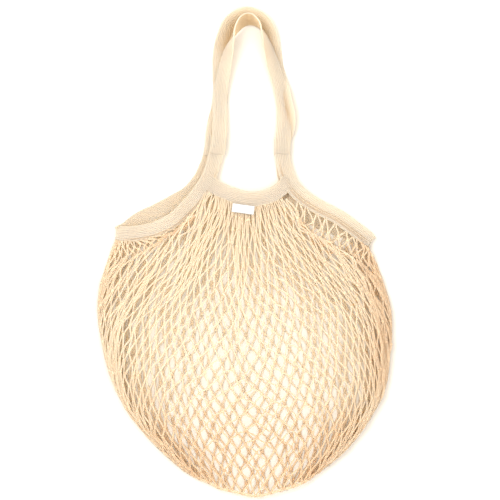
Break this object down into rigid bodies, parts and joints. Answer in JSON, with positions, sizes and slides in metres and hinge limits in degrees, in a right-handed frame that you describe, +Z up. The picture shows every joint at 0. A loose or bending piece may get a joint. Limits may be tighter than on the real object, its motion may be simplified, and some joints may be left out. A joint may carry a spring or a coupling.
{
  "type": "string shopping bag",
  "caption": "Knitted cotton net shopping bag lying flat, with a ribbed band round its open mouth, two long ribbed strap handles and a small blank tag.",
  "frame": {"origin": "the middle of the whole bag's box, at the height of the floor that it lies on", "axes": "+Y from the net's bottom to the handles, +X to the right as seen from above, +Z up from the floor through the bag's front"},
  "size_m": [0.414, 0.6884, 0.0271],
  "materials": {
    "net_cord": "matt knitted cotton cord, natural cream",
    "webbing": "matt ribbed cotton webbing, light cream",
    "tag_tape": "smooth white woven tape"
  },
  "bodies": {
    "root": {"net_bag": "net_cord", "rim_front": "webbing", "rim_back": "webbing", "side_band_left": "webbing", "side_band_right": "webbing", "handle_front": "webbing", "handle_back": "webbing", "label_tag": "tag_tape"}
  },
  "joints": []
}
